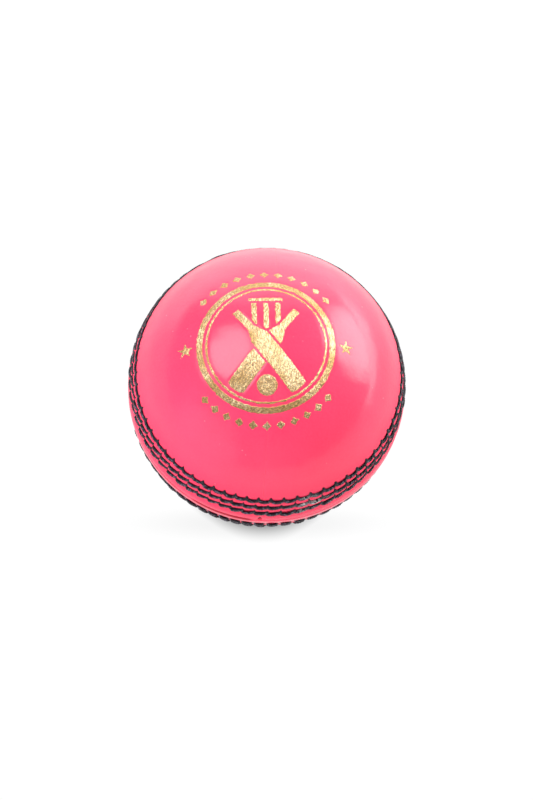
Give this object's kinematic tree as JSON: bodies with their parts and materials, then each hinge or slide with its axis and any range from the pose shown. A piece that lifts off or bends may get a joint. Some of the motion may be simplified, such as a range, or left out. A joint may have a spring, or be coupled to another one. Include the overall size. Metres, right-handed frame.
{
  "type": "cricket ball",
  "caption": "Pink leather cricket ball with a raised, hand-sewn black seam, a gold foil stamp on one face, and a cork and yarn core.",
  "frame": {"origin": "centre of the ball", "axes": "+Z through the pole in the middle of the stamp, +Y to the top of the stamp, the seam in the plane Z = 0"},
  "size_m": [0.0718, 0.0718, 0.0715],
  "materials": {
    "cover_leather": "bright pink alum-tanned leather, polished and lacquered",
    "seam_thread": "black waxed twisted linen thread",
    "gold_foil": "hot-stamped gold leaf, crinkled and slightly worn",
    "hidden_thread": "natural waxed linen thread",
    "lining_leather": "thin undyed split leather",
    "binding_twine": "tight wound linen twine",
    "core_yarn": "worsted yarn, wound under tension",
    "cork": "natural cork, granular"
  },
  "bodies": {
    "root": {"cork_nucleus": "cork", "yarn_winding_1": "core_yarn", "cork_wrap_1": "cork", "yarn_winding_2": "core_yarn", "cork_wrap_2": "cork", "yarn_winding_3": "core_yarn", "cork_wrap_3": "cork", "yarn_winding_4": "core_yarn", "cork_wrap_4": "cork", "twine_binding": "binding_twine", "upper_lining_front": "lining_leather", "upper_lining_back": "lining_leather", "lower_lining_left": "lining_leather", "lower_lining_right": "lining_leather", "upper_quarter_left": "cover_leather", "upper_quarter_right": "cover_leather", "lower_quarter_front": "cover_leather", "lower_quarter_back": "cover_leather", "upper_quarter_seam_thread": "hidden_thread", "lower_quarter_seam_thread": "hidden_thread", "closing_lacing": "hidden_thread", "upper_inner_stitch_row": "seam_thread", "upper_middle_stitch_row": "seam_thread", "upper_outer_stitch_row": "seam_thread", "lower_inner_stitch_row": "seam_thread", "lower_middle_stitch_row": "seam_thread", "lower_outer_stitch_row": "seam_thread", "upper_middle_lock_thread": "hidden_thread", "upper_outer_lock_thread": "hidden_thread", "lower_middle_lock_thread": "hidden_thread", "lower_outer_lock_thread": "hidden_thread", "foil_rings": "gold_foil", "foil_front_bat": "gold_foil", "foil_back_bat": "gold_foil", "foil_wicket": "gold_foil", "foil_ball": "gold_foil", "foil_lozenges": "gold_foil", "foil_stars": "gold_foil"}
  },
  "joints": []
}
